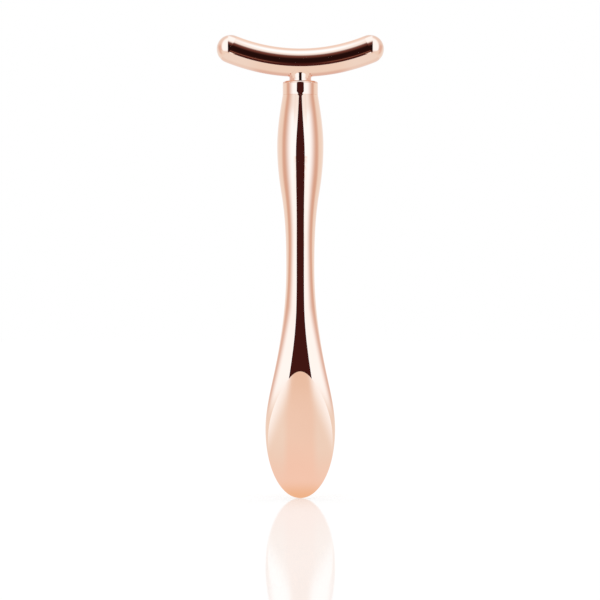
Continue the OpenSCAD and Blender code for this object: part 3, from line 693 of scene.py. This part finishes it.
def glow_material(name, colour=None):
    t = Tree(name)
    glow = t.add("ShaderNodeEmission")
    if colour is None:
        source = t.add("ShaderNodeAttribute", attribute_name="glow")
        t.links.new(source.outputs["Color"], glow.inputs["Color"])
    else:
        glow.inputs["Color"].default_value = (*colour, 1)
    clear, either = t.add("ShaderNodeBsdfTransparent"), t.add("ShaderNodeMixShader")
    side = t.add("ShaderNodeNewGeometry")
    t.links.new(side.outputs["Backfacing"], either.inputs[0])
    t.links.new(glow.outputs[0], either.inputs[1])
    t.links.new(clear.outputs[0], either.inputs[2])
    t.links.new(either.outputs[0], t.out.inputs[0])
    t.material.cycles.emission_sampling = "NONE"
    return t.material


def card(name, points, faces, colours=None, colour=None):
    """A card of the studio, in millimetres, seen by glossy rays alone."""
    obj = new_object(name, points, faces)
    if colours is not None:
        glow = obj.data.color_attributes.new("glow", "FLOAT_COLOR", "POINT")
        rgba = np.column_stack([colours, np.ones(len(colours))])
        glow.data.foreach_set("color", rgba.astype(np.float32).ravel())
    obj.data.materials.append(glow_material(name, colour))
    for ray in ("camera", "diffuse", "transmission", "volume_scatter", "shadow"):
        setattr(obj, f"visible_{ray}", False)
    return obj


def mix(a, b, t):
    return np.asarray(a) * (1 - t)[..., None] + np.asarray(b) * t[..., None]


def step(value, low, high):
    t = np.clip((value - low) / (high - low), 0, 1)
    return t * t * (3 - 2 * t)


def strip_card(name, y, outline, tone_of, samples=60):
    """An upright dark strip across the front, at depth y, facing the wand. The outline is a
    list of (height, half width)."""
    z = np.linspace(outline[0][0], outline[-1][0], samples)
    half = np.interp(z, *zip(*outline))
    points = np.vstack([np.column_stack([s * half, np.full(samples, y), z]) for s in (-1, 1)])
    faces = [(i, samples + i, samples + i + 1, i + 1) for i in range(samples - 1)]
    shade = tone_of(z)
    obj = card(name, points, faces, np.vstack([shade, shade]))
    if obj.data.polygons[0].normal.y < 0:
        obj.data.flip_normals()
    return obj


def face_point(obj, point, towards=True):
    """Turns a card's front towards a point, or away from it."""
    face = obj.data.polygons[len(obj.data.polygons) // 2]
    looks_at_it = (Vector(point) * MM - face.center).dot(face.normal) > 0
    if looks_at_it != towards:
        obj.data.flip_normals()


# Where the studio's cards stand
LINE_Y, COLLAR_LINE_Y, BACK_LINE_Y = -12, -7.2, 20.0
SCREEN_Y, SCREEN_LINE_Y, SCREEN_LINE_Z, SCREEN_FOOT_HALF_W = -283, -282.0, -45.0, 90
TENT_R, DOME_R, FLOOR_HALF = 62, 2500, 4000
MIRROR_SHARE, MIRROR_FULL_R, MIRROR_END_R = 0.53, 0.013, 0.021

# The studio's tones. The plating tints them, so a card that is to look white in it is bluish.
OVERHEAD, BRIGHTEST, BRIGHT = (1.2, 1.8, 2.35), (1.2, 1.7, 2.15), (1.2, 1.65, 2.05)
PALE, COOL, HAZE = (1.1, 1.4, 1.65), (1.0, 1.15, 1.25), (0.95, 1.0, 1.05)
WHITE, SOFT, BLUSH, CREAM = (1.0, 1.0, 1.0), (1.0, 1.1, 1.15), (1.05, 1.0, 1.0), (0.95, 0.9, 0.85)
ROSE, DUSK, AMBER = (0.85, 0.75, 0.75), (0.8, 0.65, 0.6), (1.0, 0.8, 0.6)
RUST, BROWN, EMBER = (0.4, 0.2, 0.15), (0.2, 0.08, 0.07), (0.08, 0.02, 0.02)
WINE, INK = (0.06, 0.015, 0.015), (0.02, 0.007, 0.007)


def wine(z):
    return np.tile(WINE, (len(z), 1))


def screen_tone(z):
    """The far screen: reddish at its foot, near black in the middle, fading out through brown."""
    tone = mix(mix(EMBER, INK, step(z, -100, 40)), BROWN, step(z, 150, 330))
    return mix(tone, PALE, step(z, 330, 600))


def eased(z, points):
    """A width that runs smoothly from point to point and is level at each."""
    heights, widths = zip(*points)
    width = np.full(np.shape(z), float(widths[0]))
    for z0, z1, w0, w1 in zip(heights, heights[1:], widths, widths[1:]):
        width = width + (w1 - w0) * step(z, z0, z1)
    return width


# Near strip: the dark line down the handle, wide at the flare and at the waist
LINE_WIDTHS = [(-90, 9.5), (-52, 5.2), (-38, 5.6), (-6, 3.4), (20, 1.6)]
line_zs = np.linspace(-75.5, 19.6, 90)
strip_card("near_strip", LINE_Y, list(zip(line_zs, eased(line_zs, LINE_WIDTHS))), wine, 90)

# Collar strip: the wider line up the collar
strip_card("collar_strip", COLLAR_LINE_Y, [(16.7, 0.8), (17.6, 1.85), (21.3, 1.8)], wine, 50)

# Far screen: the dark band along the bar, and the line up the neck
strip_card("far_screen", SCREEN_Y,
           [(-96, 88), (100, 68), (133, 46), (160, 70), (760, 300)], screen_tone, 400)

# Its foot on the floor, which ends the bar's band at the shelf's edge
foot = card("screen_foot",
            [(x, y, TIP_Z - 0.004) for x in (-SCREEN_FOOT_HALF_W, SCREEN_FOOT_HALF_W)
             for y in (-335, -200)], [(0, 2, 3, 1)], colour=EMBER)
face_point(foot, (0, 0, 0))

# Back strip: a soft-edged line down the back of the handle, tapered at both ends
def back_strip():
    z = np.linspace(-84, 24, 55)
    half = np.interp(z, [-84, -60, -30, 0, 24], [0.6, 5, 4.4, 3.6, 0.6])
    across = np.linspace(-1, 1, 13)
    s, h = np.meshgrid(across, half)
    points = np.column_stack([(s * h).ravel(), np.full(s.size, BACK_LINE_Y),
                              np.repeat(z, len(across))])
    colours = mix(EMBER, WHITE, step(np.abs(s).ravel(), 0.25, 1))
    face_point(card("back_strip", points, strip(len(z), len(across)), colours), (0, 0, 0))


back_strip()


# A paler line low on the far screen, which runs along the bar's band
def screen_line():
    x = np.linspace(-88, 88, 89)
    z = SCREEN_LINE_Z + np.array([-16.0, -8, 0, 8, 16])
    xs, zs = np.meshgrid(x, z)
    tone = mix(WINE, RUST, step(np.abs(xs).ravel(), 6, 40))
    ends = np.tile(screen_tone(np.array([SCREEN_LINE_Z])), (xs.size, 1))
    colours = mix(ends, tone, 1 - step(np.abs(zs - SCREEN_LINE_Z).ravel(), 2, 14))
    points = np.column_stack([xs.ravel(), np.full(xs.size, SCREEN_LINE_Y), zs.ravel()])
    face_point(card("screen_line", points, strip(len(z), len(x)), colours), (0, 0, 0))


screen_line()


# Tent: side walls that run from bright in front through a dim band to white behind
def tent():
    half_turn = np.concatenate([np.arange(34, 180, 1.5), [180]])
    psi = np.radians(np.concatenate([half_turn, 360 - half_turn[-2::-1]]))
    zs = np.arange(-114, 102, 2.0)
    a, z = np.meshgrid(psi, zs)
    points = np.stack([TENT_R * np.sin(a), -TENT_R * np.cos(a), z], -1).reshape(-1, 3)
    az = np.degrees(np.minimum(a, 2 * math.pi - a)).ravel() + 4
    z = z.ravel()
    # the dim band swings to the back beside the flare, where it also fades in sooner
    dim_az = 92 + 38 * step(-z, 24, 64)
    lead = 48 + 10 * step(-z, 28, 50)
    early = 5 * step(z, -20, 5)
    bright = mix(mix(BRIGHT, BRIGHTEST, step(z, -36, -20)), PALE, step(z, 25, 34))
    dim = mix(DUSK, ROSE, step(-z, 38, 55))
    colours = mix(bright, dim, step(az, dim_az - lead, dim_az - 4))
    colours = mix(colours, SOFT, step(az, dim_az + 2 - early, dim_az + 24 - early))
    colours = mix(colours, SOFT, step(-z, 70, 92))
    colours = mix(colours, WHITE, step(az, 140, 165))
    face_point(card("tent", points, strip(len(zs), len(psi)), colours), (0, 0, 0))


tent()


# Dome: bright in front, paler higher up, bright overhead, white behind
def dome():
    el = np.radians(np.linspace(-20, 90, 56))
    az = np.radians(np.arange(0, 361, 4))
    e, a = np.meshgrid(el, az, indexing="ij")
    d = np.stack([np.cos(e) * np.sin(a), -np.cos(e) * np.cos(a), np.sin(e)], -1).reshape(-1, 3)
    from_back = np.degrees(np.arccos(np.clip(d[:, 1], -1, 1)))
    up = np.degrees(e).ravel()
    aside = np.degrees(np.minimum(a, 2 * math.pi - a)).ravel()
    front = mix(mix(BRIGHTEST, PALE, step(up, 12, 23)), OVERHEAD, step(up, 64, 82))
    front = mix(front, SOFT, 0.5 * step(aside, 22, 42) * step(up, 15, 20) * step(-up, -50, -30))
    colours = mix(WHITE, front, step(from_back, 44, 90))
    face_point(card("dome", d * DOME_R, strip(len(el), len(az)), colours), (0, 0, 0))


dome()


# Shelf: a glow under the bar, soft in the middle and cooler towards the ends, which hides the room
# below from it, with painted shade from under the bar backwards
def shelf():
    reach = BEND_R + BAR_R + 0.6
    angles = np.radians(np.linspace(-24, 24, 97))
    depths = np.linspace(-10.0, 13.5, 95)
    t, y = np.meshgrid(angles, depths, indexing="ij")
    points = np.stack([reach * np.sin(t), y, BEND_Z - reach * np.cos(t)], -1).reshape(-1, 3)
    x, y = np.abs(points[:, 0]), points[:, 1]
    colours = mix(SOFT, COOL, step(x, 12, 19))
    # painted shade: the shelf is dim rose from under the bar backwards
    under = mix(ROSE, HAZE, step(x, 12, 18))
    colours = mix(colours, under, step(y, -3.2, -1.2))
    faces = [f for f in strip(len(angles), len(depths))
             if min(np.hypot(points[i][0], points[i][1]) for i in f) > NECK_R + 0.02]
    face_point(card("shelf", points, faces, colours), (0, 0, BEND_Z))


shelf()


# Neck wall: the dim sides that the neck sees under the shelf
def neck_wall():
    zs = (21.0, 22.4)
    psi = np.radians(np.arange(57, 304, 3))
    a, z = np.meshgrid(psi, zs)
    points = np.stack([8.5 * np.sin(a), -8.5 * np.cos(a), z], -1).reshape(-1, 3)
    colours = np.tile(ROSE, (len(points), 1))
    face_point(card("neck_wall", points, strip(len(zs), len(psi)), colours), (0, 0, zs[0]))


neck_wall()


# End shades: what the bar's round ends see: the band's last stretch, a bright patch beside it,
# a dim ring and a paler rim. Each vertex takes its tone from the spot of the end that sees it.
def end_shade(side, middle):
    theta = np.radians(np.linspace(0.5, 148, 60))
    psi = np.radians(np.linspace(-90, 90, 61))
    th, ps = np.meshgrid(theta, psi, indexing="ij")
    tilt = BAR_HALF_ANGLE
    out_x = np.sin(th) * np.cos(ps + tilt)
    up_z = np.sin(th) * np.sin(ps + tilt)
    points = np.stack([side * out_x, -np.cos(th), up_z], -1).reshape(-1, 3) * 9 + middle
    rho = BAR_R * np.sin(th / 1.5).ravel()
    a, b = rho * np.cos(ps + tilt).ravel(), rho * np.sin(ps + tilt).ravel() + 0.17
    q = b * math.cos(tilt) - a * math.sin(tilt)
    ring = 3.3 + np.where(b > 0, 0.25, 0.2) * (b + 0.1)
    low = mix(SOFT, COOL, step(-b, 1.5, 3))
    dim = mix(ROSE, HAZE, step(b, 0.8, 2.2))
    colours = mix(dim, COOL, step(rho, ring + 0.2, ring + 1.1))
    colours = mix(colours, BRIGHT, step(ring - rho, 0.2, 0.9) * step(b, -1.3, -0.2))
    colours = mix(colours, low, step(-q, 1.15, 1.7) * step(3.6 - rho, 0, 0.8))
    colours = mix(colours, low, step(-b, 1.1, 1.9))
    colours = mix(colours, BRIGHT, step(q, 2.2, 2.5) * step(4.2 - q, 0, 0.6)
                  * step(1.2 - a, 0, 0.8))
    turn = 2 * np.arcsin(np.clip(q / BAR_R, -1, 1)) + 0.075
    height = 31.5 + 280 * np.tan(np.clip(turn, -1.2, 1.2))
    inside = step(q, -1.25, -1.15) * step(0.95 - a, 0, 0.12) * step(2.5 - q, 0, 0.12)
    colours = mix(colours, screen_tone(height), inside)
    name = "left_end_shade" if side < 0 else "right_end_shade"
    face_point(card(name, points, strip(len(theta), len(psi)), colours), middle)


end_shade(-1, left_middle)
end_shade(1, right_middle)


# Floor glow: the floor as the polished metal sees it, with its light and shade painted on: white
# near the wand, with a painted amber reflection of the wand round the tip, with the lane that
# shows on the scoop's flat painted as shade, dimmer than the painted highlights beside it, and as
# bright as the studio far out on both sides
def floor_glow():
    far = [-2400, -1500, -900, -600, -420, -320]
    xs = np.concatenate([far, np.arange(-280, -44, 8), np.arange(-40, 40.5, 1),
                         np.arange(48, 284, 8), [-v for v in far[::-1]]])
    ys = np.concatenate([far, np.arange(-280, -124, 6), np.arange(-120, 30, 2),
                         [60, 120, 300, 2400]])
    x, y = (v.ravel() for v in np.meshgrid(xs, ys, indexing="ij"))
    points = np.column_stack([x, y, np.full(len(x), TIP_Z - 0.006)])
    off, ahead = np.abs(x), -y
    # painted highlight: beside the lane the floor brightens in a diagonal further ahead
    beside = mix(SOFT, BRIGHT, step(ahead + 6 * (off - 5), 60, 98))
    # painted shade: the lane down the middle stays dimmer than its sides
    lane = mix(BLUSH, WHITE, step(ahead, 15, 50))
    lane = mix(lane, CREAM, step(ahead, 60, 94))
    # painted reflection: amber round the tip, the wand's rose gold as the floor would reflect it
    painted_tip_reflection = (1 - step(ahead, -3, 11)) * step(ahead, -10, -4) * (1 - 0.8 * step(off, 3, 12))
    lane = mix(lane, AMBER, painted_tip_reflection)
    half = 3.4 + np.clip(94 - ahead, 0, 34) * 0.045
    colours = mix(lane, beside, step(off, half - 1.2, half + 1.2) * step(ahead, 0, 40)
                  * step(-ahead, -135, -112))
    # painted highlights: bright wedges further ahead on both sides
    wide = step(off / np.maximum(ahead, 1), 0.37, 0.43) * step(ahead, 115, 180)
    colours = mix(colours, BRIGHT, wide)
    face_point(card("floor_glow", points, strip(len(xs), len(ys)), colours), (0, 0, 0))


floor_glow()


# ------------------------------------------------------------------ floor


def floor():
    corners = [(x * FLOOR_HALF, y * FLOOR_HALF, TIP_Z - 0.01)
               for x, y in ((-1, -1), (1, -1), (1, 1), (-1, 1))]
    obj = new_object("floor", corners, [(0, 1, 2, 3)])
    t = Tree("pale_floor")
    # what the eye sees: white, with a faint blurred mirror that Fresnel weakens from above
    paint = t.add("ShaderNodeBsdfDiffuse")
    paint.inputs["Color"].default_value = (0.5, 0.5, 0.5, 1)
    lift = t.add("ShaderNodeEmission")
    lift.inputs["Color"].default_value = (1, 1, 1, 1)
    lift.inputs["Strength"].default_value = 0.53
    both = t.add("ShaderNodeAddShader")
    t.links.new(paint.outputs[0], both.inputs[0])
    t.links.new(lift.outputs[0], both.inputs[1])
    mirror = t.add("ShaderNodeBsdfGlossy")
    mirror.inputs["Color"].default_value = (1, 1, 1, 1)
    mirror.inputs["Roughness"].default_value = 0.05
    fresnel = t.add("ShaderNodeFresnel")
    fresnel.inputs["IOR"].default_value = 1.5
    # the mirror is kept to a lane round the tip and in front of it, where it shows the wand
    place = t.add("ShaderNodeNewGeometry")
    split = t.add("ShaderNodeSeparateXYZ")
    t.links.new(place.outputs["Position"], split.inputs[0])
    behind = t.math("MAXIMUM", split.outputs["Y"], 0.0)
    square = t.math("ADD", t.math("MULTIPLY", split.outputs["X"], split.outputs["X"]),
                    t.math("MULTIPLY", behind, behind))
    lane = t.span(t.math("SQRT", square), MIRROR_FULL_R, MIRROR_END_R, 1.0, 0.0, "SMOOTHSTEP")
    share = t.math("MULTIPLY", t.math("MULTIPLY", fresnel.outputs[0], MIRROR_SHARE), lane)
    seen = t.add("ShaderNodeMixShader")
    t.links.new(share, seen.inputs[0])
    t.links.new(both.outputs[0], seen.inputs[1])
    t.links.new(mirror.outputs[0], seen.inputs[2])
    # the polished metal sees the floor glow on top of it, and plain white beyond that
    gloss = t.add("ShaderNodeEmission")
    gloss.inputs["Color"].default_value = (1, 1, 1, 1)
    path = t.add("ShaderNodeLightPath")
    whole = t.add("ShaderNodeMixShader")
    t.links.new(path.outputs["Is Glossy Ray"], whole.inputs[0])
    t.links.new(seen.outputs[0], whole.inputs[1])
    t.links.new(gloss.outputs[0], whole.inputs[2])
    t.links.new(whole.outputs[0], t.out.inputs[0])
    t.material.cycles.emission_sampling = "NONE"
    obj.data.materials.append(t.material)


floor()

# ------------------------------------------------------------------ light

world = bpy.data.worlds.new("white_room")
bpy.context.scene.world = world
world.use_nodes = True
world.node_tree.nodes["Background"].inputs[0].default_value = (1, 1, 1, 1)
world.node_tree.nodes["Background"].inputs[1].default_value = 1.0

bpy.context.scene.view_settings.view_transform = "Standard"
